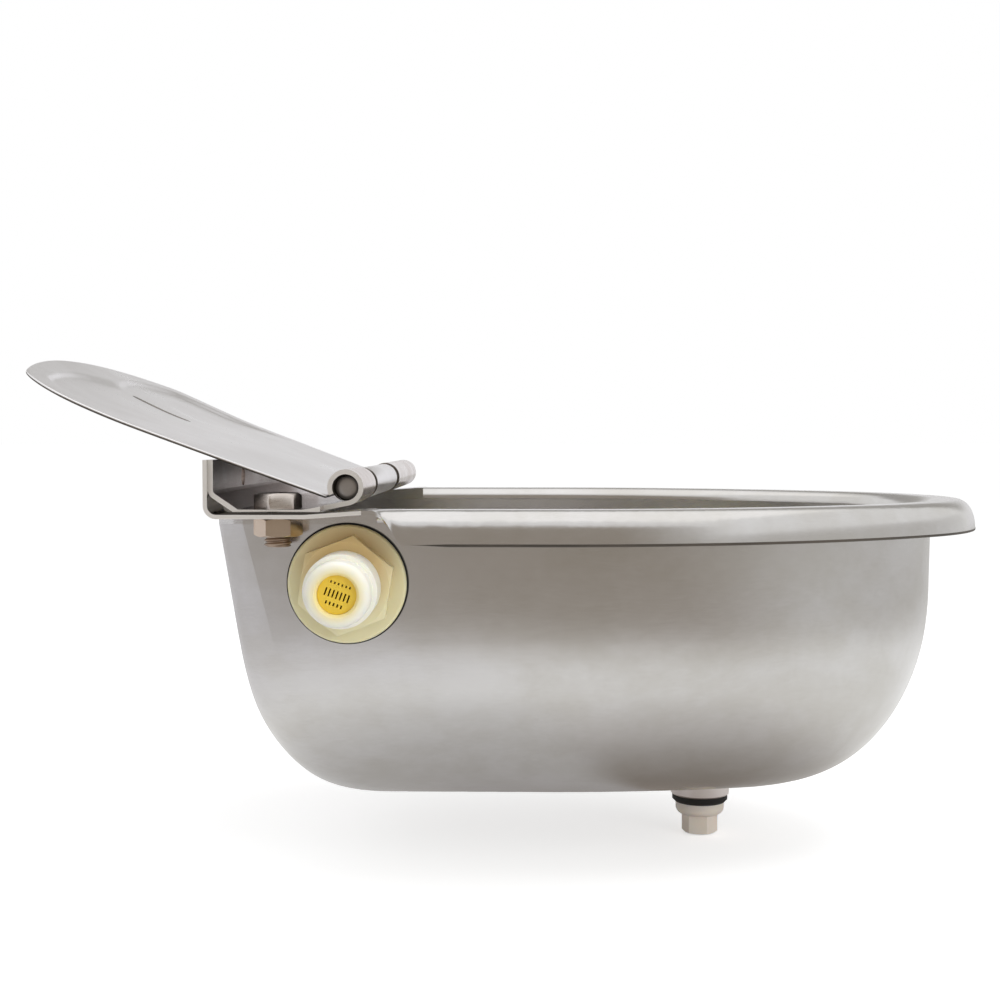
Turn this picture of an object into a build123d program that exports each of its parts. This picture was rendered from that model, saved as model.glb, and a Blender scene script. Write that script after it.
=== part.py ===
from build123d import *
import os
from math import acos, atan2, cos, degrees, hypot, radians, sin, sqrt

# Livestock drinking bowl: a pressed stainless pan that hangs on a wall, a float valve that fills it,
# a hinged lid over the valve and a screw plug to drain it.
#
# Millimetres, +Z up. +X points from the wall to the animal, and the water inlet is on the -Y side.
# While a piece is built, heights are measured from the top of the rim. save() then lowers it, so that
# the origin of the finished part is on the wall, midway between its two wall bolts.

# ---- pan ----
sheet = 1.2                  # thickness of the pan and lid sheet
pan_half_width = 92.2        # outside of the side walls, where they meet the rim
pan_nose_x = 228.2           # outside of the nose wall, where it meets the rim
pan_depth = 94.5             # rim to the underside of the bottom
rear_corner_r = 8.0          # plan radius of the two rear corners, at the rim
rear_corner_bottom_r = 18.0
straight_side_end = 95.0     # where the straight sides turn into the nose
nose_r_ratio = 0.7           # plan radius of the nose over the half width, at the rim
nose_r_bottom_ratio = 0.85
side_draft = 0.033           # slope of each wall, as run over drop
nose_draft = 0.02
rear_draft = 0.14
side_sweep = (56.0, 60.0)    # run and rise of the round that joins a wall to the bottom
nose_sweep = (46.0, 64.0)
rear_sweep = (24.5, 46.0)
round_power = 2.0            # a quarter ellipse; the rear's round is flatter than that
rear_round_power = 1.6

# ---- rim and shelf ----
rim_reach = 14.4             # side wall to the outside of the lip
rim_flat = 8.1               # side wall to where the lip starts to curl
lip_drop = 9.8               # top of the rim to the edge of the lip
wall_bend_r = 3.0            # under the rim, where it leaves the wall
wall_top = -4.6              # where the drawn walls meet the rim
shelf_top = -1.2             # the shelf lies one sheet under the rim, so the bracket sits flush
shelf_flat_end = 28.5        # along X: end of the level shelf
shelf_ramp_end = 45.0        # end of its slope up to the rim
lip_start = 47.5             # where the edge starts to curl down
upstand_top = 14.2
upstand_bend_r = 2.5

# ---- wall and bracket fasteners ----
wall_hole_r = 3.0
wall_hole_y = 60.0           # half the spacing of the two wall bolts
wall_hole_z = 8.6            # above the rim: this height becomes Z = 0
bolt_x = 20.0
bolt_y = 99.2
bolt_r = 4.0                 # M8
bolt_hole_r = 4.4
bolt_flats = 12.0
bolt_head = 4.6
bolt_end = -10.6
nut_height = 5.2

# ---- bracket and hinge ----
bracket_sheet = 1.4
bracket_half_width = 105.0
bracket_chamfer = (7.5, 5.8)  # run and rise of the slanted corner between leaf and upright
bracket_leaf_end = 28.5      # where the leaf starts to rise to the knuckles
hinge_x = 39.0
hinge_z = 6.2
hinge_half_length = 97.5
pin_r = 3.8
pin_recess = 3.5
pin_clearance = 0.05
knuckle_gap = 0.8
lid_knuckle = (-63.0, 20.0)  # along Y: the lid's knuckle, with a bracket knuckle on each side
roll_end_angle = 206.0       # how far round the bracket's roll goes, from +X

# ---- lid ----
lid_sheet = 1.0
lid_open_angle = 20.6        # above level, leaning back on the upstand
lid_length = 112.0           # hinge axis to the front edge
lid_hinge_half_width = 97.5
lid_half_width = 107.0
lid_corner_r = 24.0
lid_front_r = 338.0
lid_flat_end = 60.0          # where the front of the lid starts to curl
lid_curl_r = 265.0
lid_roll_clearance = 0.4     # lid plate to the bracket's rolls
panel_start = 44.0           # hinge axis to the pressed panel
panel_margin = 14.0          # lid edge to the pressed panel
panel_depth = 1.3
panel_corner_r = 14.0
bead_length = 20.0           # plain pressed bead in the panel
bead_width = 3.6
bead_s = 80.0

# ---- inlet and valve: along the valve's own axis, inwards from the outside of the wall ----
inlet_x = 38.9
inlet_z = -21.8
thread_r = 10.4775           # G 1/2
thread_end = -9.0            # the thread runs out just before the nut
relief_r = 10.2
lead_in_r = 9.3              # plain end of the stub
lead_in_start = -19.0
stub_end = -26.5
stub_bore_r = 5.5
wall_inlet_r = 10.8
outer_gasket = 0.8
inner_gasket = 1.5
nut_flange_r = 17.2
nut_flange = 2.0
nut_flats = 25.4
nut_hex = 4.6
nut_turn = 9.3               # degrees that the nut stopped short of a corner pointing up
body_flange_r = 15.5
body_flange = 3.2
body_r = 12.0
body_end = 50.0
piston_bore_r = 8.0
piston_bore_start = 10.0
nozzle_base = 4.0
nozzle_tip = 18.0
nozzle_tip_r = 3.6
nozzle_hole_r = 1.6
seal_r = 6.0
seal_height = 3.0
seal_gap = 0.3               # left between seal and nozzle when the valve is shut
piston_clearance = 0.08
piston_length = 20.0
piston_slot = 13.0           # seal face to the slot that the lever works in
cap_r = 13.8
cap_wall = 2.0
cap_skirt = 6.0

# ---- float lever ----
lever_swing = 16.0           # degrees from hanging to shut
pivot_drop = 17.0            # valve axis to the pivot
lever_reach = 14.0           # pivot to the tip of the short arm
lever_tip_r = 2.2
lever_width = 5.0
lever_clearance = 0.5
pivot_r = 1.5
float_near = 30.0            # pivot to the near end of the float
float_size = (48.0, 54.0, 26.0)
float_offset_x = 14.0
float_edge_r = 6.0

# ---- drain ----
drain_x = 151.0
boss_r = 10.1
boss_drop = 9.5
boss_spigot_r = 8.5
drain_thread_r = 6.55
drain_clearance = 0.05
washer_r = 9.6
washer_height = 2.4
washer_gap = 0.05
plug_collar_r = 8.4
plug_collar = 4.5
plug_flats = 10.8
plug_hex = 6.3

pan_bottom = -pan_depth
shelf_under = shelf_top - sheet
leaf_top = shelf_top + bracket_sheet
travel = lever_reach * radians(lever_swing)
inlet_wall_y = -pan_half_width + side_draft * (wall_top - inlet_z)
valve_frame = Pos(inlet_x, inlet_wall_y, inlet_z) * Rot(degrees(atan2(side_draft, 1.0)), 0, 0)


# ---- pan ----
def inset(z, draft, sweep, depth, power=round_power):
    """How far a wall has moved inwards at height z: a straight draft, then a quarter of a rounded curve."""
    run, rise = sweep
    start = rise - depth
    if z >= start:
        return draft * (wall_top - z)
    turned = min((start - z) / rise, 1.0)
    eased = wall_top - start + 0.3 * (start - z)
    return draft * eased + run * (1.0 - (1.0 - turned ** power) ** (1.0 / power))


def mirrored(point):
    """The same plan point on the other side of the bowl."""
    return (point[0], -point[1])


def plan_edges(z, skin=0.0):
    """Edges of the D-shaped plan at height z: rear, corner, side, then the nose's three arcs, and back."""
    depth = pan_depth - skin
    half = pan_half_width - skin - inset(z, side_draft, (side_sweep[0] - skin, side_sweep[1] - skin), depth)
    nose = pan_nose_x - skin - inset(z, nose_draft, (nose_sweep[0] - skin, nose_sweep[1] - skin), depth)
    rear = skin + inset(z, rear_draft, (rear_sweep[0] - skin, rear_sweep[1] - skin), depth, rear_round_power)
    sunk = min(max(-z / pan_depth, 0.0), 1.0)
    corner = rear_corner_r + (rear_corner_bottom_r - rear_corner_r) * sunk - skin
    nose_r = (half + skin) * (nose_r_ratio + (nose_r_bottom_ratio - nose_r_ratio) * sunk) - skin
    reach = nose - nose_r - straight_side_end
    side_r = (reach ** 2 + half ** 2 - nose_r ** 2) / (2.0 * (half - nose_r))
    turn = degrees(atan2(side_r - half, reach))
    side_start = (rear + corner, half)
    nose_start = (nose - nose_r + nose_r * cos(radians(turn)), nose_r * sin(radians(turn)))
    mid_turn = radians(turn + 90.0) / 2.0
    side_mid = (straight_side_end + side_r * cos(mid_turn), half - side_r + side_r * sin(mid_turn))
    corner_mid = (rear + corner * (1.0 - sqrt(0.5)), half - corner * (1.0 - sqrt(0.5)))
    side_end = (straight_side_end, half)
    rear_end = (rear, half - corner)
    return [
        Line(mirrored(rear_end), rear_end),
        ThreePointArc(rear_end, corner_mid, side_start),
        Line(side_start, side_end),
        ThreePointArc(side_end, side_mid, nose_start),
        ThreePointArc(nose_start, (nose, 0), mirrored(nose_start)),
        ThreePointArc(mirrored(nose_start), mirrored(side_mid), mirrored(side_end)),
        Line(mirrored(side_end), mirrored(side_start)),
        ThreePointArc(mirrored(side_start), mirrored(corner_mid), mirrored(rear_end)),
    ]


def pan_outline(z, skin=0.0):
    """Plan of the pan at height z as a face; skin moves it inwards by the sheet's thickness."""
    return Pos(0, 0, z) * make_face(Wire(plan_edges(z, skin)))


def drawn_form(skin):
    """Solid of the pan's outside, or of its inside with skin = sheet, from the rim's underside down."""
    depth = pan_depth - skin
    round_start = nose_sweep[1] - pan_depth
    straight = [wall_top + (round_start - wall_top) * step / 4.0 for step in range(5)]
    rise = round_start + depth
    rounded = [round_start - rise * sin(radians(turn)) for turn in (15, 30, 45, 58, 70, 80, 90)]
    return loft([pan_outline(z, skin) for z in straight + rounded])


def rim_profile(drop):
    """Section of the rim, x outwards from the wall and y up: wall bend, flat, and lip down to -drop.

    The lip curls over and ends upright. With no drop it runs straight on as the shelf does.
    """
    turn = min(2.0 * atan2(drop, rim_reach - rim_flat), radians(90))
    lip_outer = (rim_reach, -drop)
    lip_inner = (rim_reach - sheet * sin(turn), -drop - sheet * cos(turn))
    bend_z = -sheet - wall_bend_r
    bend_out = wall_bend_r + sheet
    half = sqrt(0.5)

    def curl(start, end):
        across = end[0] - start[0]
        lead = 0.6 * across
        tail = 0.6 * (start[1] - end[1]) + across / 3.0 * (1.0 - drop / lip_drop)
        back = (end[0] - tail * cos(turn), end[1] + tail * sin(turn))
        return Bezier(start, (start[0] + lead, start[1]), back, end)

    edges = [
        Line((-sheet, wall_top), (-sheet, bend_z)),
        ThreePointArc((-sheet, bend_z), (wall_bend_r - bend_out * half, bend_z + bend_out * half),
                      (wall_bend_r, 0)),
        Line((wall_bend_r, 0), (rim_flat, 0)),
        curl((rim_flat, 0), lip_outer),
        Line(lip_outer, lip_inner),
        curl((rim_flat, -sheet), lip_inner),
        Line((rim_flat, -sheet), (wall_bend_r, -sheet)),
        ThreePointArc((wall_bend_r, -sheet), (wall_bend_r * (1 - half), bend_z + wall_bend_r * half),
                      (0, bend_z)),
        Line((0, bend_z), (0, wall_top)),
        Line((0, wall_top), (-sheet, wall_top)),
    ]
    return make_face(Wire(edges))


def rim_section(x, drop, side):
    """The rim's profile stood up across one side wall: side is -1 or +1 in Y."""
    across = Plane(origin=(x, side * pan_half_width, 0), x_dir=(0, side, 0), z_dir=(side, 0, 0))
    return across * rim_profile(drop)


def rim():
    """Rim and turned-down lip round the front, and the run where the lip grows out of the shelf."""
    curl_end = lip_start + 9.5
    start, end = (curl_end, pan_half_width), (straight_side_end, pan_half_width)
    path = Wire([Line(start, end)] + plan_edges(wall_top)[3:6] + [Line(mirrored(end), mirrored(start))])
    swept = sweep(rim_section(curl_end, lip_drop, 1), path)
    growth = [(0.0, 0.0), (2.0, 1.0), (4.6, 4.4), (7.0, 8.3), (9.5, lip_drop)]
    pieces = [swept]
    for side in (-1, 1):
        pieces.append(loft([rim_section(lip_start + run, drop, side) for run, drop in growth]))
    return pieces


def shelf_line(back, lower, bend_r):
    """Side view of one face of the shelf's strip: down the upstand, along the shelf and up to the rim."""
    return FilletPolyline((back, upstand_top), (back, shelf_top - lower), (shelf_flat_end, shelf_top - lower),
                          (shelf_ramp_end, -lower), (lip_start, -lower), radius=[bend_r, 12, 12])


def across_bowl(profile):
    """Stands a side view up and runs it across the whole width of the rim."""
    return extrude(Plane.XZ * profile, pan_half_width + rim_reach, both=True)


def shelf():
    """Level shelf, its slope up to the rim and the upstand that bears on the wall, as one bent strip."""
    upper = shelf_line(sheet, 0.0, upstand_bend_r)
    under = shelf_line(0.0, sheet, upstand_bend_r + sheet)
    ends = [Line(under @ 0, upper @ 0), Line(upper @ 1, under @ 1)]
    return across_bowl(make_face(Wire(upper.edges() + under.edges() + ends)))


def above_shelf():
    """Everything over the middle of the shelf's sheet, used to trim the walls under it."""
    mid = sheet / 2.0
    line = shelf_line(mid, mid, upstand_bend_r + mid)
    corner = (lip_start, upstand_top)
    ends = [Line(line @ 1, corner), Line(corner, line @ 0)]
    return across_bowl(make_face(Wire(line.edges() + ends)))


def wall_bolt_holes():
    """The two wall bolts' holes, through whatever stands against the wall."""
    hole = Rot(0, 90, 0) * Cylinder(wall_hole_r, 30)
    return [Pos(0, side * wall_hole_y, wall_hole_z) * hole for side in (-1, 1)]


def bracket_bolt_holes():
    """Upright holes for the bracket's two bolts."""
    return [Pos(bolt_x, side * bolt_y, 0) * Cylinder(bolt_hole_r, 30) for side in (-1, 1)]


def bowl_pan():
    """The pan, drawn and trimmed from one sheet."""
    walls = drawn_form(0.0) - drawn_form(sheet)
    collar = extrude(pan_outline(wall_top), -wall_top) - extrude(pan_outline(wall_top, sheet), -wall_top)
    collar = collar & Box(lip_start, 400, 60, align=(Align.MIN, Align.CENTER, Align.CENTER))
    mouth = extrude(pan_outline(wall_top, sheet), 10)
    pan = walls + (collar - above_shelf()) + (shelf() - mouth)
    for piece in rim():
        pan = pan + piece
    for hole in wall_bolt_holes() + bracket_bolt_holes():
        pan = pan - hole
    inlet_hole = valve_frame * Rot(90, 0, 0) * Cylinder(wall_inlet_r, 20)
    drain_hole = Pos(drain_x, 0, pan_bottom) * Cylinder(boss_spigot_r, 10)
    return pan - inlet_hole - drain_hole


# ---- bracket, hinge and lid ----
def hex_prism(flats, height, turn=0.0):
    """Hexagonal prism standing on Z = 0, a corner on X when turn is 0."""
    return extrude(Rot(0, 0, turn) * RegularPolygon(flats / sqrt(3.0), 6), height)


def chamfered_hex(flats, height, turn=0.0, both=False):
    """Hexagon with its corners turned off by a cone at the top, and at the bottom too with both."""
    corner = flats / sqrt(3.0)
    crown = Pos(0, 0, height / 2.0) * Cylinder(corner, height)
    crown = chamfer(crown.edges().group_by(Axis.Z)[-1], (corner - flats / 2.0) * 0.6, corner - flats / 2.0)
    body = hex_prism(flats, height, turn) & crown
    if both:
        body = body & (Pos(0, 0, height) * Rot(180, 0, 0) * crown)
    return body


def bracket_bolts():
    """Hexagon bolts that hold the bracket to the shelf, heads up."""
    head = Pos(0, 0, leaf_top) * chamfered_hex(bolt_flats, bolt_head, 18.0)
    shank_length = leaf_top - bolt_end
    shank = Pos(0, 0, bolt_end + shank_length / 2.0) * Cylinder(bolt_r, shank_length)
    shank = chamfer(shank.edges().group_by(Axis.Z)[0], 0.8)
    bolt = head + shank
    return Compound([Pos(bolt_x, side * bolt_y, 0) * bolt for side in (-1, 1)])


def bracket_nuts():
    """Plain hexagon nuts under the shelf."""
    nut = chamfered_hex(bolt_flats, nut_height, 9.0, both=True) - Cylinder(bolt_r, 40)
    lowered = Pos(0, 0, shelf_under - nut_height) * nut
    return Compound([Pos(bolt_x, side * bolt_y, 0) * lowered for side in (-1, 1)])


def roll_tangent(point, radius):
    """Angle, from the hinge axis, at which a line from point meets the underside of a roll."""
    back = (point[0] - hinge_x, point[1] - hinge_z)
    return atan2(back[1], back[0]) + acos(radius / hypot(*back))


def lid_bracket():
    """Upright, slanted corner, leaf and the rolled knuckles, bent from one strip."""
    mid = bracket_sheet / 2.0
    roll_r = pin_r + mid
    leaf_z = shelf_top + mid
    upright_x = sheet + mid
    run, rise = bracket_chamfer
    leaf_end = (bracket_leaf_end, leaf_z)
    meet = roll_tangent(leaf_end, roll_r)
    meet_point = (hinge_x + roll_r * cos(meet), hinge_z + roll_r * sin(meet))
    bends = FilletPolyline((upright_x, upstand_top), (upright_x, shelf_top + rise), (upright_x + run, leaf_z),
                           leaf_end, meet_point, radius=[2.0, 2.0, 14.0])
    roll = CenterArc((hinge_x, hinge_z), roll_r, degrees(meet), roll_end_angle - degrees(meet))
    leaf = extrude(Plane.XZ * trace(bends, line_width=bracket_sheet), -bracket_half_width, both=True)
    rolled = extrude(Plane.XZ * trace(roll, line_width=bracket_sheet), -hinge_half_length, both=True)
    bracket = leaf + rolled
    first, last = lid_knuckle
    notch = Box(30, last - first, 40, align=(Align.MIN, Align.MIN, Align.CENTER))
    notch_x = hinge_x - pin_r - bracket_sheet - 1.0
    bracket = bracket - Pos(notch_x, first, hinge_z) * notch
    for side in (-1, 1):
        end_cut = Box(30, 20, 40, align=(Align.MIN, Align.CENTER, Align.CENTER))
        bracket = bracket - Pos(notch_x, side * (hinge_half_length + 10), hinge_z) * end_cut
    for hole in wall_bolt_holes() + bracket_bolt_holes():
        bracket = bracket - hole
    return bracket


def hinge_pin():
    """Plain pin, pressed in the bracket's rolls and short of their ends."""
    length = 2.0 * (hinge_half_length - pin_recess)
    pin = chamfer(Cylinder(pin_r, length).edges(), 0.4)
    return Pos(hinge_x, 0, hinge_z) * Rot(90, 0, 0) * pin


def lid_strip(low, high):
    """The lid's bent sheet, full width, between two heights measured from the lid's upper face."""
    upper = -pin_r - pin_clearance
    curl_centre = upper + lid_curl_r
    turn = (lid_length + 2.0 - lid_flat_end) / lid_curl_r

    def on_curl(height, angle):
        radius = lid_curl_r - height
        return (lid_flat_end + radius * sin(angle), curl_centre - radius * cos(angle))

    edges = [
        Line((0, upper + low), (lid_flat_end, upper + low)),
        ThreePointArc((lid_flat_end, upper + low), on_curl(low, turn / 2), on_curl(low, turn)),
        Line(on_curl(low, turn), on_curl(high, turn)),
        ThreePointArc(on_curl(high, turn), on_curl(high, turn / 2), (lid_flat_end, upper + high)),
        Line((lid_flat_end, upper + high), (0, upper + high)),
        Line((0, upper + high), (0, upper + low)),
    ]
    strip = Plane.XZ * make_face(Wire(edges))
    return extrude(strip, lid_half_width + 5.0, both=True)


def lid_plan():
    """Outline of the lid, x away from the hinge: flared sides, round corners and a bowed front."""
    centre_x = lid_length - lid_front_r
    corner_y = lid_half_width - lid_corner_r
    corner_x = centre_x + sqrt((lid_front_r - lid_corner_r) ** 2 - corner_y ** 2)
    lean = atan2(corner_y, corner_x - centre_x)
    front = (centre_x + lid_front_r * cos(lean), lid_front_r * sin(lean))
    middle = (lean + radians(90)) / 2.0
    corner_mid = (corner_x + lid_corner_r * cos(middle), corner_y + lid_corner_r * sin(middle))
    corner = (corner_x, lid_half_width)
    hinge = (0, lid_hinge_half_width)
    flare = (corner_x * 0.5, lid_hinge_half_width + (lid_half_width - lid_hinge_half_width) * 0.76)
    edges = [
        Line(mirrored(hinge), hinge),
        ThreePointArc(hinge, flare, corner),
        ThreePointArc(corner, corner_mid, front),
        ThreePointArc(front, (lid_length, 0), mirrored(front)),
        ThreePointArc(mirrored(front), mirrored(corner_mid), mirrored(corner)),
        ThreePointArc(mirrored(corner), mirrored(flare), mirrored(hinge)),
    ]
    return make_face(Wire(edges))


def panel_plan(margin):
    """Outline of the pressed panel: the lid's own outline moved inwards, squared off near the hinge."""
    inner = offset(lid_plan(), -margin)
    ahead = Rectangle(200, 300, align=(Align.MIN, Align.CENTER)).locate(Pos(panel_start, 0, 0))
    panel = (inner & ahead).face()
    return fillet(panel.vertices().group_by(Axis.X)[0], panel_corner_r)


def lid():
    """Lid plate with a pressed panel and bead, and one knuckle rolled round the pin.

    It is built x away from the hinge with its upper face up, then turned over to the hinge's side,
    which swaps +Y and -Y.
    """
    tall = 60.0
    plate = lid_strip(-lid_sheet, 0.0) & extrude(lid_plan(), tall, both=True)
    outer_panel = extrude(panel_plan(panel_margin), tall, both=True)
    inner_panel = extrude(panel_plan(panel_margin + lid_sheet), tall, both=True)
    bead_plan = Pos(bead_s, 0, 0) * SlotOverall(bead_length, bead_width)
    plate = plate + (lid_strip(-panel_depth - lid_sheet, -lid_sheet) & outer_panel)
    plate = plate - (lid_strip(-panel_depth, 1.0) & inner_panel)
    plate = plate - (lid_strip(-panel_depth - 0.5, 0.0) & extrude(bead_plan, tall, both=True))
    first, last = knuckle_gap - lid_knuckle[1], -knuckle_gap - lid_knuckle[0]
    setback = sqrt((pin_r + bracket_sheet + lid_roll_clearance) ** 2 - (pin_r + pin_clearance) ** 2)
    for start, end in ((-lid_half_width, first), (last, lid_half_width)):
        clearance = Box(setback, end - start, 30, align=(Align.MIN, Align.MIN, Align.CENTER))
        plate = plate - Pos(0, start, 0) * clearance
    roll_r = pin_r + pin_clearance + lid_sheet / 2.0
    roll = CenterArc((0, 0), roll_r, -90, -290)
    knuckle = Plane.XZ * trace(roll, line_width=lid_sheet)
    plate = plate + Pos(0, last, 0) * extrude(knuckle, last - first)
    return Pos(hinge_x, 0, hinge_z) * Rot(0, lid_open_angle - 180.0, 0) * Rot(180, 0, 0) * plate


# ---- valve: x and z across, y inwards along the valve's axis ----
def ring(outer, inner, start, end):
    """Hollow cylinder on the valve's axis between two distances from the wall."""
    tube = Cylinder(outer, end - start) - Cylinder(inner, end - start)
    return Pos(0, (start + end) / 2.0, 0) * Rot(90, 0, 0) * tube


def rod(radius, start, end):
    """Solid cylinder on the valve's axis between two distances from the wall."""
    return Pos(0, (start + end) / 2.0, 0) * Rot(90, 0, 0) * Cylinder(radius, end - start)


def inlet_gasket():
    """Rubber ring under the lock nut, a little wider than its flange."""
    return ring(nut_flange_r + 0.5, relief_r + 0.1, -outer_gasket, 0.0)


def inlet_lock_nut():
    """Flanged hexagon nut on the outside of the wall."""
    flange_front = -outer_gasket - nut_flange
    flange = rod(nut_flange_r, flange_front, -outer_gasket)
    flange = fillet(flange.edges().group_by(Axis.Y)[0], 0.8)
    hexagon = Pos(0, flange_front, 0) * Rot(90, 0, 0) * chamfered_hex(nut_flats, nut_hex, 90.0 - nut_turn)
    return flange + hexagon - rod(relief_r, -40, 10)


def valve_gasket():
    """Rubber ring between the wall and the valve's inner flange."""
    return ring(body_flange_r, relief_r + 0.1, sheet, sheet + inner_gasket)


def valve_body():
    """Threaded stub, flange and barrel in one moulding, with the lever's slot and two pivot ears."""
    flange_start = sheet + inner_gasket
    flange_end = flange_start + body_flange
    lead_in = fillet(rod(lead_in_r, stub_end, lead_in_start).edges().group_by(Axis.Y)[0], 2.6)
    body = rod(thread_r, lead_in_start, thread_end) + rod(relief_r, thread_end, flange_start) + lead_in
    body = body + rod(body_flange_r, flange_start, flange_end) + rod(body_r, flange_end, body_end)
    pivot_y = pivot_place()
    ear = Box(3.0, 10.0, pivot_drop, align=(Align.MIN, Align.CENTER, Align.MAX))
    foot = Rot(0, 90, 0) * Cylinder(5.0, 3.0, align=(Align.CENTER, Align.CENTER, Align.MIN))
    ear_x = lever_width / 2.0 + lever_clearance
    for x in (ear_x, -ear_x - 3.0):
        body = body + Pos(x, pivot_y, 0) * ear + Pos(x, pivot_y, -pivot_drop) * foot
    body = body - rod(stub_bore_r, stub_end - 5, piston_bore_start)
    mouth = Pos(0, stub_end, 0) * Rot(90, 0, 0) * Cone(stub_bore_r, stub_bore_r + 1.6, 1.6,
                                                      align=(Align.CENTER, Align.CENTER, Align.CENTER))
    body = body - mouth - rod(piston_bore_r, piston_bore_start, body_end + 5)
    slot = Box(2 * ear_x, 12.0, 12.0, align=(Align.CENTER, Align.CENTER, Align.MAX))
    outlet = Box(12.0, 7.0, 12.0, align=(Align.CENTER, Align.MIN, Align.MAX))
    body = body - Pos(0, pivot_y, -2.0) * slot - Pos(0, piston_bore_start + nozzle_base + 0.5, -3.0) * outlet
    return body - Pos(0, pivot_y, -pivot_drop) * Rot(0, 90, 0) * Cylinder(pivot_r, 40)


def inlet_filter():
    """Strainer cup in the mouth of the stub, with three rows of slots in its face."""
    front = stub_end + 1.8
    cup = rod(stub_bore_r - 0.05, front, front + 14.0) - rod(stub_bore_r - 1.0, front + 1.2, front + 20.0)
    rows = [(2.9, 6, 0.7), (-0.1, 7, 2.3), (-2.9, 5, 1.0)]
    for height, count, length in rows:
        for index in range(count):
            across = (index - (count - 1) / 2.0) * 1.1
            slot = Pos(across, front, height) * Box(0.45, 6.0, length)
            cup = cup - Rot(0, 20, 0) * slot
    return cup


def valve_nozzle():
    """Seat that the seal shuts: a pressed-in disc with a raised orifice."""
    disc_end = piston_bore_start + nozzle_base
    nozzle = rod(piston_bore_r, piston_bore_start, disc_end) + rod(nozzle_tip_r, disc_end, nozzle_tip)
    nozzle = nozzle - rod(nozzle_hole_r, piston_bore_start - 1, nozzle_tip + 1)
    return nozzle - rod(stub_bore_r - 1.0, piston_bore_start - 1, disc_end - 1.0)


def seal_face():
    """Where the seal's face stands while the float hangs down and the valve is open."""
    return nozzle_tip + seal_gap + travel


def pivot_place():
    """Distance of the lever's pivot from the wall."""
    return seal_face() + piston_slot - lever_reach * sin(radians(lever_swing / 2.0))


def piston_seal():
    """Rubber disc let into the end of the piston."""
    return rod(seal_r, seal_face(), seal_face() + seal_height)


def valve_piston():
    """Piston that slides in the barrel, with a pocket for the seal and a slot for the lever's tip."""
    start = seal_face() + seal_height / 2.0
    piston = rod(piston_bore_r - piston_clearance, start, start + piston_length)
    piston = chamfer(piston.edges().group_by(Axis.Y)[0] + piston.edges().group_by(Axis.Y)[-1], 0.5)
    piston = piston - rod(seal_r, start - 5, seal_face() + seal_height)
    width = 2.0 * (lever_tip_r + 0.35)
    top = -(pivot_drop - lever_reach) + lever_tip_r + 0.6
    slot = Box(lever_width + 2 * lever_clearance - 0.2, width, 20.0, align=(Align.CENTER, Align.CENTER, Align.MAX))
    return piston - Pos(0, seal_face() + piston_slot, top) * slot


def valve_cap():
    """Screwed cap that shuts the barrel behind the piston."""
    skirt = ring(cap_r, body_r, body_end - cap_skirt, body_end)
    cover = rod(cap_r, body_end, body_end + cap_wall)
    cover = fillet(cover.edges().group_by(Axis.Y)[-1], 1.0)
    cap = skirt + cover
    ribs = 24
    for index in range(ribs):
        groove = Pos(cap_r, body_end - cap_skirt / 2.0, 0) * Rot(90, 0, 0) * Cylinder(0.5, cap_skirt)
        cap = cap - Rot(0, 360.0 * index / ribs, 0) * groove
    return cap


def arm_pivot_pin():
    """Pin through the ears and the lever's boss."""
    length = lever_width + 2 * lever_clearance + 6.0
    return Pos(0, pivot_place(), -pivot_drop) * Rot(0, 90, 0) * Cylinder(pivot_r, length)


# ---- float lever, built level about its pivot and then let down to hang ----
def hang(piece):
    """Turns a piece of the float lever down to its rest and puts it at the pivot."""
    return Pos(0, pivot_place(), -pivot_drop) * Rot(-lever_swing, 0, 0) * piece


def float_arm():
    """Cranked arm with a boss on the pivot pin and the short lever that works the piston."""
    route = FilletPolyline((0, 0), (0, 15), (float_offset_x, 34), (float_offset_x, float_near + 40),
                           radius=[10, 10])
    bar = extrude(trace(route, line_width=lever_width), lever_width / 2.0, both=True)
    pad = Pos(float_offset_x, float_near + 40, 0) * extrude(Circle(7.0), lever_width / 2.0, both=True)
    boss = Rot(0, 90, 0) * Cylinder(4.0, lever_width)
    lean = lever_swing / 2.0
    web = Box(lever_width, 2.6, lever_reach, align=(Align.CENTER, Align.CENTER, Align.MIN))
    tip = Pos(0, 0, lever_reach) * Rot(0, 90, 0) * Cylinder(lever_tip_r, lever_width)
    arm = bar + pad + boss + Rot(lean, 0, 0) * (web + tip)
    arm = arm - Rot(0, 90, 0) * Cylinder(pivot_r + pin_clearance, 20)
    return hang(arm - Pos(float_offset_x, float_near + 40, 0) * Cylinder(2.1, 20))


def float_block():
    """Sealed hollow float, seen as a rounded block with the arm lying on its top."""
    width, length, height = float_size
    place = Pos(float_offset_x, float_near + length / 2.0, -lever_width / 2.0 - height / 2.0)
    block = fillet(Box(width, length, height).edges().filter_by(Axis.Z), float_edge_r * 1.6)
    block = fillet(block.faces().sort_by(Axis.Z)[-1].edges() + block.faces().sort_by(Axis.Z)[0].edges(),
                   float_edge_r)
    return hang(place * block - Pos(float_offset_x, float_near + 40, 0) * Cylinder(2.0, 30))


def float_screw():
    """Pan-head screw that holds the float to the arm's pad."""
    head = Pos(0, 0, lever_width / 2.0) * Cylinder(4.2, 2.4, align=(Align.CENTER, Align.CENTER, Align.MIN))
    head = fillet(head.edges().group_by(Axis.Z)[-1], 1.2)
    shank = Pos(0, 0, lever_width / 2.0) * Cylinder(2.0, 16.0, align=(Align.CENTER, Align.CENTER, Align.MAX))
    slot = Pos(0, 0, lever_width / 2.0 + 2.4) * Box(10, 1.0, 2.0)
    return hang(Pos(float_offset_x, float_near + 40, 0) * (head + shank - slot))


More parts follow.
